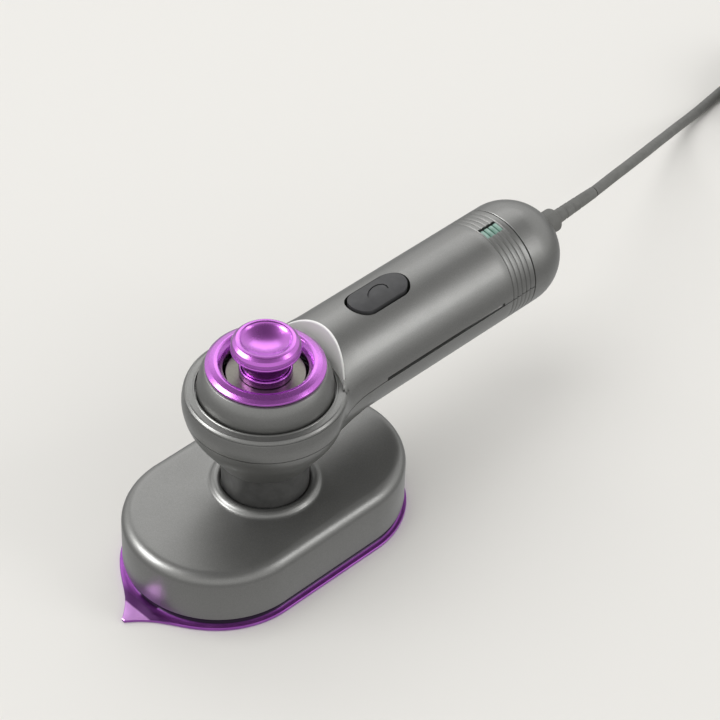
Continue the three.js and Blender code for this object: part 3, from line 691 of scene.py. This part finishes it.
def junction_flare():
    """The tube's flanks and underside swell as it runs into the hub, while its top stays level."""
    def growth(x):
        return FLARE_GROWTH * max(0.0, (FLARE_TO - x) / (FLARE_TO - FLARE_FROM)) ** 2

    stations = [FLARE_FROM + (FLARE_TO - FLARE_FROM) * k / 12 for k in range(13)]
    profile = [(x, GRIP_RADIUS - 0.05 + growth(x)) for x in stations]
    bm = along_grip([(FLARE_FROM, 0)] + profile + [(FLARE_TO, 0)], steps=128)
    for vert in bm.verts:
        vert.co.z -= growth(vert.co.x)
    flare = solid_from(bm, "flare")
    carve(flare, block((0, -40, 20), (60, 40, 39.1)))
    return flare


def grip_skin():
    """Hub and tube as one skin, blended where they meet."""
    skin = solid_from(hub_solid(), "grip_skin")
    stations = (0, 30, 60, BAND_START + 6)
    tube = along_grip([(0, 0), *[(x, GRIP_RADIUS) for x in stations], (stations[-1], 0)], steps=160)
    carve(skin, tube, operation="UNION")
    carve_object(skin, junction_flare(), "UNION")
    remesh = skin.modifiers.new("skin", "REMESH")
    remesh.mode = "VOXEL"
    remesh.voxel_size = 0.55 * MM
    bake_modifiers(skin)
    soften_skin(skin)
    return skin


def soften_skin(skin):
    """Smooths the skin, most of all where tube and hub meet, then trues tube and hub to their radii."""
    bm = bmesh.new()
    bm.from_mesh(skin.data)
    evenly = {"factor": 0.5, "use_axis_x": True, "use_axis_y": True, "use_axis_z": True}
    bmesh.ops.smooth_vert(bm, verts=bm.verts, **evenly)
    crease = [v for v in bm.verts if near_junction(v.co / MM)]
    for _ in range(SOFTENING):
        bmesh.ops.smooth_vert(bm, verts=crease, **evenly)
    for vert in bm.verts:
        x, y, z = vert.co / MM
        off_tube = math.hypot(y, z - GRIP_AXIS)
        off_hub = math.hypot(x, y)
        if x > 34 and off_tube > GRIP_RADIUS - 1:
            scale = GRIP_RADIUS / off_tube
            vert.co = Vector((x, y * scale, GRIP_AXIS + (z - GRIP_AXIS) * scale)) * MM
        elif 38 < z < HUB_RIM - 0.7 and off_hub > 16 and x < 14:
            hold = min(1.0, (14 - x) / 8)
            scale = 1 + hold * (hub_radius(z) / off_hub - 1)
            vert.co = Vector((x * scale, y * scale, z)) * MM
    bm.to_mesh(skin.data)
    bm.free()


def near_junction(point):
    """Whether a point lies in the hollow where the tube runs into the hub, below the hub's rim."""
    x, y, z = point
    if z > HUB_RIM - 2.4 or x < 8:
        return False
    off_tube = abs(math.hypot(y, z - GRIP_AXIS) - GRIP_RADIUS)
    off_hub = abs(math.hypot(x, y) - hub_radius(max(z, HUB_PROFILE[0][1])))
    return off_tube < 8 and off_hub < 9


def tube_top(radius, angle):
    """Height of the tube's skin at a place given by its distance and direction from the swivel's axis."""
    return GRIP_AXIS + math.sqrt(max(0.0, GRIP_RADIUS ** 2 - (radius * math.sin(angle)) ** 2))


def scoop_edge():
    """The rounded edge of the scoop that the recess takes out of the tube."""
    loops = []
    for step in range(97):
        angle = (step / 96 * 2 - 1) * SCOOP_SPREAD
        crest = tube_top(RECESS_RADIUS + SCOOP_ROUND, angle)
        foot = RECESS_RADIUS - SCOOP_LEAN * (crest - HUB_RIM)
        profile = [(foot, SCOOP_FOOT), (foot, HUB_RIM - 0.1), (RECESS_RADIUS, crest - SCOOP_ROUND)]
        for turn in (math.pi / 2 * k / 5 for k in range(1, 6)):
            out, down = SCOOP_ROUND * (1 - math.cos(turn)), SCOOP_ROUND * (1 - math.sin(turn))
            profile.append((RECESS_RADIUS + out, crest - down))
        profile += [(SCOOP_REACH, tube_top(SCOOP_REACH, angle)), (SCOOP_REACH, SCOOP_FOOT)]
        loops.append([(r * math.cos(angle), r * math.sin(angle), z) for r, z in profile])
    return lofted(loops, capped=True)


def scoop_edge_room():
    """The room that the scoop's edge takes in the grip's skin."""
    loops = []
    inner, outer, low = RECESS_RADIUS - 0.4, SCOOP_REACH - 0.05, SCOOP_FOOT + 0.4
    corners = [(inner, low), (outer, low), (outer, 90), (inner, 90)]
    for step in range(49):
        angle = (step / 48 * 2 - 1) * (SCOOP_SPREAD - 0.01)
        loops.append([(r * math.cos(angle), r * math.sin(angle), z) for r, z in corners])
    return lofted(loops, capped=True)


def hub_rim():
    """The crisp ring round the dome that tops the hub."""
    return turned([(23.3, RIM_SEAM), (hub_radius(RIM_SEAM) - 0.03, RIM_SEAM, 0.12), (26.95, 65.3, 0.45),
                   (26.35, 65.95, 0.22), (25.8, 65.8, 0.35), (24.1, 65.95, 0.2), (23.8, 66.2, 0.1),
                   (23.4, 66.2, 0.1)], steps=160, closed=True)


def rim_room():
    """What the rim replaces. Beside the tube it keeps to the rim's own shoulder and leaves no trench."""
    low, high = RIM_SEAM - 0.04, HUB_RIM + 0.1
    free = solid_from(rod(27.4, low, high, steps=160), "rim_room")
    carve(free, block((17.5, -40, 60), (60, 40, 70)))
    shoulder = [(0, low), (27.42, low), (26.95, 65.34), (26.38, 65.98), (25.9, high), (0, high)]
    carve(free, turned(shoulder, steps=160), operation="UNION")
    return free


def parting_tool(above, lift=0.0):
    """Everything above or below the line where the two shells meet, which dips a little towards the hub."""
    far = 160
    line = [(-60, HUB_SEAM), (22, HUB_SEAM), (36, GRIP_AXIS), (far, GRIP_AXIS)]
    edge = 130 if above else 0
    outline = [(x, z + lift) for x, z in line] + [(far, edge), (-60, edge)]
    bm = prism([(x, -z) for x, z in outline], -60, 60)
    quarter_turn(bm, "X", way=-1)
    bmesh.ops.recalc_face_normals(bm, faces=bm.faces)
    return bm


def band_solid(inner, outer=GRIP_RADIUS, start=BAND_START, end=CAP_START - GAP, depth=0.34):
    """The grip's rear band, with fine round grooves."""
    profile = [(start, inner), (start, outer), (start + 1.5, outer)]
    for i in range(GROOVES):
        x = GROOVE_START + GROOVE_PITCH * i
        profile += [(x - 0.5, outer), (x - 0.32, outer - 0.05), (x - 0.12, outer - depth),
                    (x + 0.12, outer - depth), (x + 0.32, outer - 0.05), (x + 0.5, outer)]
    profile += [(end - 0.25, outer), (end, outer - 0.25), (end, inner)]
    return along_grip(profile, steps=160, closed=True)


def button_well():
    """The opening round the button."""
    return prism(oval(BUTTON_HALF, BUTTON_RADIUS + BUTTON_GAP, 96, (BUTTON_X, 0)), 60, 90)


def slot_floor(side):
    """The lower shell's edge falls away inwards under the side slot."""
    corners = [(GRIP_RADIUS + 0.25, GRIP_AXIS), (17.5, GRIP_AXIS), (17.5, GRIP_AXIS - 2.2)]
    return lofted([[(x, side * y, z) for y, z in corners] for x in (SLOT_FROM, SLOT_TO)], capped=True)


def grip_hollow():
    """The room inside the hub and the tube, with the swivel's bores below it."""
    end = BAND_START + 5
    bore = along_grip([(10, 0), (10, BORE_RADIUS), (end, BORE_RADIUS), (end, 0)], steps=96)
    hollow = solid_from(bore, "hollow")
    carve(hollow, rod(27.5, 61.6, 99))
    carve(hollow, hub_hollow(), rod(7.8, 30, 50, steps=64), rod(15.1, 30, 41), operation="UNION")
    return hollow


def lens_opening():
    """The opening in the band for the window, with a slit left beside it."""
    low = (LENS_LOW[0] - 0.3, LENS_LOW[1] - 0.1, 70)
    high = (LENS_HIGH[0] + 0.1, LENS_HIGH[1] + LENS_SLIT, 90)
    return block(low, high)


def side_slot(side):
    """The long slot over the shells' meeting line."""
    middle = side * GRIP_RADIUS
    return block((SLOT_FROM, middle - 1.4, 57), (SLOT_TO, middle + 1.4, SLOT_TOP))


def build_grip_shells():
    """The grip's skin, hollowed and parted in two, with the hub's rim, the scoop's edge and the band."""
    skin = grip_skin()
    carve(skin, block((BAND_START, -30, 20), (BAND_START + 20, 30, 90)),
          rod(RECESS_RADIUS, HUB_RIM, 90, steps=160), scoop_edge_room())
    carve_object(skin, rim_room())
    upper = carve_object(skin, grip_hollow())
    lower = upper.copy()
    lower.data = upper.data.copy()
    bpy.context.scene.collection.objects.link(lower)
    upper.name, lower.name = "grip_upper_shell", "grip_lower_shell"
    carve(upper, parting_tool(above=False), button_well(), *[side_slot(side) for side in (-1, 1)])
    carve(lower, parting_tool(above=True, lift=-GAP), *[slot_floor(side) for side in (-1, 1)])
    join_into(upper, solid_from(hub_rim(), "hub_rim"))
    # The scoop's edge and wall get the painted highlight grey.
    dress(solid_from(scoop_edge(), "scoop_edge"), "handle", HIGHLIGHT_PAINTED_GREY, "satin_grey", "upper_shell")
    for shell, above in ((upper, True), (lower, False)):
        band = solid_from(band_solid(BORE_RADIUS), "band")
        carve(band, parting_tool(above=not above, lift=0 if above else -GAP))
        if above:
            carve(band, lens_opening())
        join_into(shell, band)
    carve(lower, *[rod(3, 30, 45, steps=32, centre=(x, 0, 0)) for x in SCREW_PLACES],
          rod(6.8, 30, 45, steps=64, centre=(TANK_PLUG_X, 0, 0)))
    dress(upper, "handle", GREY, "satin_grey", "upper_shell")
    dress(lower, "handle", GREY, "satin_grey", "lower_shell")


# ---- end cap and strain relief -----------------------------------------------------------
RELIEF_BLOCK_END = 139.4
RELIEF_LIFT = 0.05          # how much the taper rises, per length
RELIEF_GROOVES = [(143, 2.55, 2.3, 2.5), (147, 2.45, 2.25, 2.4), (151, 2.35, 2.2, 2.3)]


def cap_arc(radius, steps):
    """Points of the grip's round end, from its straight part towards the axis."""
    straight = GRIP_END - GRIP_RADIUS
    turns = [math.pi / 2 * i / steps for i in range(1, steps)]
    return [(straight + radius * math.sin(turn), radius * math.cos(turn)) for turn in turns]


def build_end_cap():
    """The grip's rounded rear, open where the strain relief passes."""
    outer = [(CAP_START, GRIP_RADIUS - 0.12), (CAP_START + 0.12, GRIP_RADIUS)]
    outer += cap_arc(GRIP_RADIUS, 32) + [(GRIP_END, 0)]
    inner = [(GRIP_END - 2, 0), *cap_arc(BORE_RADIUS, 16)[::-1], (CAP_START, BORE_RADIUS)]
    cap = solid_from(along_grip(outer + inner, steps=128, closed=True), "grip_end_cap")
    carve(cap, along_grip([(120, 0), (120, 4), (140, 4), (140, 0)], steps=64, rise=RELIEF_RISE))
    dress(cap, "handle", GREY, "satin_grey", "end_cap")


def build_strain_relief():
    """A flange inside the cap, a collar, a block outside and a grooved taper that rises with the lead."""
    flange = [(126.4, 0), (126.4, 5.2, 0.3), (129.3, 5.2, 0.3)]
    profile = [*flange, (129.3, 3.7), (132.0, 3.7), (132.0, 4.4), (138.6, 4.4, 0.7), (RELIEF_BLOCK_END, 3.4),
               (RELIEF_BLOCK_END, 2.75), (141, 2.6)]
    for x, before, deep, after in RELIEF_GROOVES:
        profile += [(x, before), (x + 0.2, deep), (x + 1, deep), (x + 1.2, after)]
    profile += [(159.5, 2.1, 0.1), (159.7, 0)]
    bm = along_grip(profile, steps=48, rise=RELIEF_RISE)
    for vert in bm.verts:
        vert.co.z += max(0.0, vert.co.x - RELIEF_BLOCK_END) * RELIEF_LIFT
    relief = solid_from(bm, "lead_strain_relief")
    cap_room = [(100, 0), (100, GRIP_RADIUS + 0.3), *cap_arc(GRIP_RADIUS + 0.3, 24), (GRIP_END + 0.3, 0)]
    carve(relief, along_grip(cap_room, steps=96))
    keep = along_grip([(120, 0), (120, 3.7), (139, 3.7), (139, 0)], steps=48, rise=RELIEF_RISE)
    carve(relief, keep, along_grip([*flange, (129.3, 0)], steps=48, rise=RELIEF_RISE), operation="UNION")
    dress(relief, "handle", RUBBER, "grey_rubber", "strain_relief")


# ---- dome and pump -----------------------------------------------------------------------
def build_dome():
    """The dome that closes the hub's top, open in the middle for the pump."""
    profile = [(15.3, 74.9, 0.2), (15.3, 72.9), (19.6, 69.1), (20.4, 63.7), (22.8, 63.7), (22.8, 65.8, 0.3),
               (22.78, 66.6), (22.62, 68.2), (22.3, 69.9), (21.8, 71.6), (21.15, 73.2), (20.3, 74.6, 0.3),
               (19.7, 74.9)]
    dome = solid_from(turned(profile, closed=True, steps=160), "hub_dome")
    dress(dome, "handle", GREY, "satin_grey", "dome_cap")


def build_trim_ring():
    """The purple ring on the dome, rounded over its top."""
    profile = [(14.2, 73.1), (14.9, 73.1), (14.9, 75.2), (19.8, 75.2, 0.2), (20.1, 75.6, 0.25),
               (19.95, 76.1, 0.3), (18.7, 77.0, 1.0), (16.8, 77.65, 0.9), (15.8, 77.4, 0.7),
               (14.9, 76.2, 0.8), (14.2, 74.9, 0.6)]
    ring = solid_from(turned(profile, closed=True, steps=160), "purple_ring")
    dress(ring, "handle", PURPLE, "purple_metallic", "trim_ring")


def build_pump_disc():
    profile = [(8.4, 71.9), (13.3, 71.9), (13.3, 72.7, 0.3), (8.4, 72.7, 0.15)]
    disc = solid_from(turned(profile, closed=True, steps=128), "pump_disc")
    dress(disc, "handle", SILVER, "silver_disc", "pump_bezel")


def build_stem_collar():
    profile = [(8.3, 73), (8.9, 73), (8.9, 75.2, 0.4), (8.65, 75.6, 0.2), (8.3, 75.6)]
    collar = solid_from(turned(profile, closed=True, steps=96), "stem_collar")
    dress(collar, "handle", PURPLE, "purple_metallic", "pump_collar")


def build_pump_knob():
    """The knob with its dished top, its stem and the piston's end with a groove for the seal."""
    piston = [(0, 55.2), (3.2, 55.2), (4.5, 55.8), (3.5, 55.8), (3.5, 58.9), (4.5, 58.9), (4.5, 69.5),
              (8.0, 69.5)]
    flank = [(8.0, 80.9, 0.8), (10.6, 81.9, 0.4), (11.6, 82.5, 0.4), (11.6, 83.0, 0.3), (11.4, 83.3, 0.2),
             (11.6, 83.6, 0.2), (11.55, 84.9, 0.4), (10.95, 86.0, 0.4), (9.9, 86.95, 0.5), (9.0, 87.1, 0.3),
             (8.45, 86.9, 0.2)]
    dish = [(8.2 * k / 12, 84.0 + 2.5 * (k / 12) ** 2.2) for k in range(12, -1, -1)]
    knob = solid_from(turned(piston + flank + dish, steps=160), "pump_push_knob")
    dress(knob, "pump_knob", PURPLE, "purple_metallic", "pump_knob")


# ---- controls ----------------------------------------------------------------------------
BUTTON_MARK = [(46.4, -0.3), (47.6, 1.0), (49.4, 2.1), (51.4, 2.6), (53.4, 2.4), (54.7, 1.4),
               (55.1, 0.1), (54.7, -1.3)]


def stroke(points, width):
    """The outline of a line of even width through points."""
    sides = ([], [])
    for i, point in enumerate(points):
        ahead = Vector(points[min(i + 1, len(points) - 1)]) - Vector(points[max(i - 1, 0)])
        across = Vector((-ahead.y, ahead.x)).normalized() * width / 2
        sides[0].append(tuple(Vector(point) + across))
        sides[1].append(tuple(Vector(point) - across))
    return sides[0] + sides[1][::-1]


def build_button():
    """The oval button, crowned round the grip's axis, with its mark cut in."""
    bm = prism(oval(BUTTON_HALF, BUTTON_RADIUS, 96, (BUTTON_X, 0)), 73.6, 79)
    button = solid_from(bm, "power_push_button")
    crown = along_grip([(30, 0), (30, BUTTON_CROWN), (72, BUTTON_CROWN), (72, 0)], steps=256)
    carve(button, crown, operation="INTERSECT")
    rim = button.modifiers.new("rim", "BEVEL")
    rim.width = 0.4 * MM
    rim.segments = 3
    rim.limit_method = "ANGLE"
    rim.angle_limit = math.radians(40)
    bake_modifiers(button)
    carve(button, prism(stroke(BUTTON_MARK, 0.6), GRIP_AXIS + BUTTON_CROWN - 0.6, 80))
    dress(button, "power_button", CHARCOAL, "charcoal", "power_button")


def build_lens():
    """The window in the band, whose grooves run on over it."""
    band = band_solid(15, GRIP_RADIUS - 0.25, start=BAND_START, end=109, depth=0.7)
    lens = solid_from(band, "indicator_window")
    window = block((LENS_LOW[0], LENS_LOW[1], 73), (LENS_HIGH[0], LENS_HIGH[1], 80))
    carve(lens, window, operation="INTERSECT")
    dress(lens, "handle", MINT_GLASS, "indicator_lens", "indicator_lens")


# ---- spring, tank plug, mains plug and tie -----------------------------------------------
def build_spring():
    """A round-wire coil, built at one fixed length; the real spring shortens as the knob goes down."""
    turns, per_turn, wire = 4, 28, 0.55
    bottom, top = 61.3 + wire, 69.1 - wire
    bm = bmesh.new()
    bmesh.ops.create_circle(bm, segments=10, radius=wire)
    quarter_turn(bm, "X")
    bmesh.ops.translate(bm, vec=(6.9, 0, bottom), verts=bm.verts)
    steps = turns * per_turn
    bmesh.ops.spin(bm, geom=bm.verts[:] + bm.edges[:], cent=(0, 0, 0), axis=(0, 0, 1),
                   angle=turns * 2 * math.pi, steps=steps, dvec=(0, 0, (top - bottom) / steps))
    bmesh.ops.holes_fill(bm, edges=[edge for edge in bm.edges if edge.is_boundary])
    bmesh.ops.recalc_face_normals(bm, faces=bm.faces)
    to_metres(bm)
    spring = new_object("knob_spring", bm)
    dress(spring, "handle", STEEL, "steel", "pump_spring", angle=60)
    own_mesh(spring)


def build_tank_plug():
    """The filler stopper: its head follows the grip's skin, with a slot to turn it by and a grooved neck."""
    profile = [(0, 36), (6.5, 36), (6.5, 41), (5, 41), (5, 43, 0.2), (4.6, 43.4, 0.1), (4.6, 44.2, 0.1),
               (5, 44.6, 0.2), (5, 46.2, 0.5), (0, 46.2)]
    plug = solid_from(turned(profile, steps=96, centre=(TANK_PLUG_X, 0, 0)), "filler_plug")
    carve(plug, along_grip([(60, 0), (60, GRIP_RADIUS), (100, GRIP_RADIUS), (100, 0)], steps=256),
          operation="INTERSECT")
    carve(plug, block((TANK_PLUG_X - 2.2, -0.9, 30), (TANK_PLUG_X + 2.2, 0.9, 40)))
    dress(plug, "tank_plug", CHARCOAL, "charcoal", "tank_plug")


def build_mains_plug():
    """A moulded two-pin plug with finger grooves. Returns its body and its pins."""
    x = PLUG_ROUTE[-1][0]
    side = [(4.4, -25.1), (7, -32), (12.9, -41), (12.9, -57), (11, -59)]
    outline = [(x + along, y) for along, y in side] + [(x - along, y) for along, y in side[::-1]]
    body = solid_from(prism(outline, 0.05, 13), "mains_plug")
    rounding = body.modifiers.new("rounding", "BEVEL")
    rounding.width = 2.2 * MM
    rounding.segments = 5
    rounding.limit_method = "ANGLE"
    bake_modifiers(body)
    for y in (-44, -47.5, -51, -54.5):
        carve(body, block((x - 14, y - 0.6, -1), (x - 12.3, y + 0.6, 14)),
              block((x + 12.3, y - 0.6, -1), (x + 14, y + 0.6, 14)))
    pieces = [dress(body, "handle", RUBBER, "grey_rubber", "plug_body")]
    for name, offset in (("left", -9.5), ("right", 9.5)):
        bm = turned([(0, 59.3), (2, 59.3), (2, 76.2, 0.6), (1.2, 77.9, 0.6), (0, 77.9)], steps=48)
        quarter_turn(bm, "X")
        bmesh.ops.translate(bm, vec=(x + offset, 0, 6.5), verts=bm.verts)
        pin = solid_from(bm, f"mains_pin_{name}")
        pieces.append(dress(pin, "handle", BRASS, "brass", f"plug_pin_{name}"))
    return pieces


def build_tie():
    """A flat strap round the wound lead, with soft corners."""
    def strap(inset, depth, corner):
        low, high = (298 + inset, 0.05 + inset), (314.1 - inset, 17.85 - inset)
        corners = [(low[0], low[1]), (high[0], low[1]), (high[0], high[1]), (low[0], high[1])]
        bm = prism([tuple(p) for p in rounded([(*c, corner) for c in corners], closed=True)], -depth, depth)
        quarter_turn(bm, "X")
        bmesh.ops.translate(bm, vec=(0, COIL_CENTRE[1], 0), verts=bm.verts)
        return bm

    tie = solid_from(strap(0, 5, 2.6), "lead_tie")
    carve(tie, strap(0.8, 8, 2.0))
    return dress(tie, "handle", CHARCOAL, "charcoal", "coil_tie")


# ---- the rest ----------------------------------------------------------------------------
INNER_FINISHES = {
    STEEL: ("heating_element", "feed_tube", "pivot_tube", "wave_washer", "casing_screw_front",
            "casing_screw_rear", "flange_screw_1", "flange_screw_2", "flange_screw_3", "shell_screw_front",
            "shell_screw_rear"),
    CAST: ("heater_block",),
    BRASS: ("swivel_nut",),
    WHITE: ("thermostat", "thermal_fuse", "thrust_washer", "pump_body", "cord_clamp", "indicator_led"),
    SILICONE: ("soleplate_gasket",),
    CLEAR: ("water_tank", "tank_hose"),
    BOARD: ("circuit_board",),
    CHARCOAL: ("push_switch",),
    RUBBER: ("inner_lead", "piston_seal"),
}


def finish_inner_nodes():
    for material, nodes in INNER_FINISHES.items():
        for node in nodes:
            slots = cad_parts[node].data.materials
            slots.clear()
            slots.append(material)


place_camera()
lead = build_lead()
build_tie()
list(build_mains_plug())
light_the_room()
lay_floor()
build_hot_plate()
build_head_cover()
build_neck()
build_grip_shells()
build_end_cap()
build_strain_relief()
build_dome()
build_trim_ring()
build_pump_disc()
build_stem_collar()
build_pump_knob()
build_button()
build_lens()
build_spring()
build_tank_plug()
finish_inner_nodes()
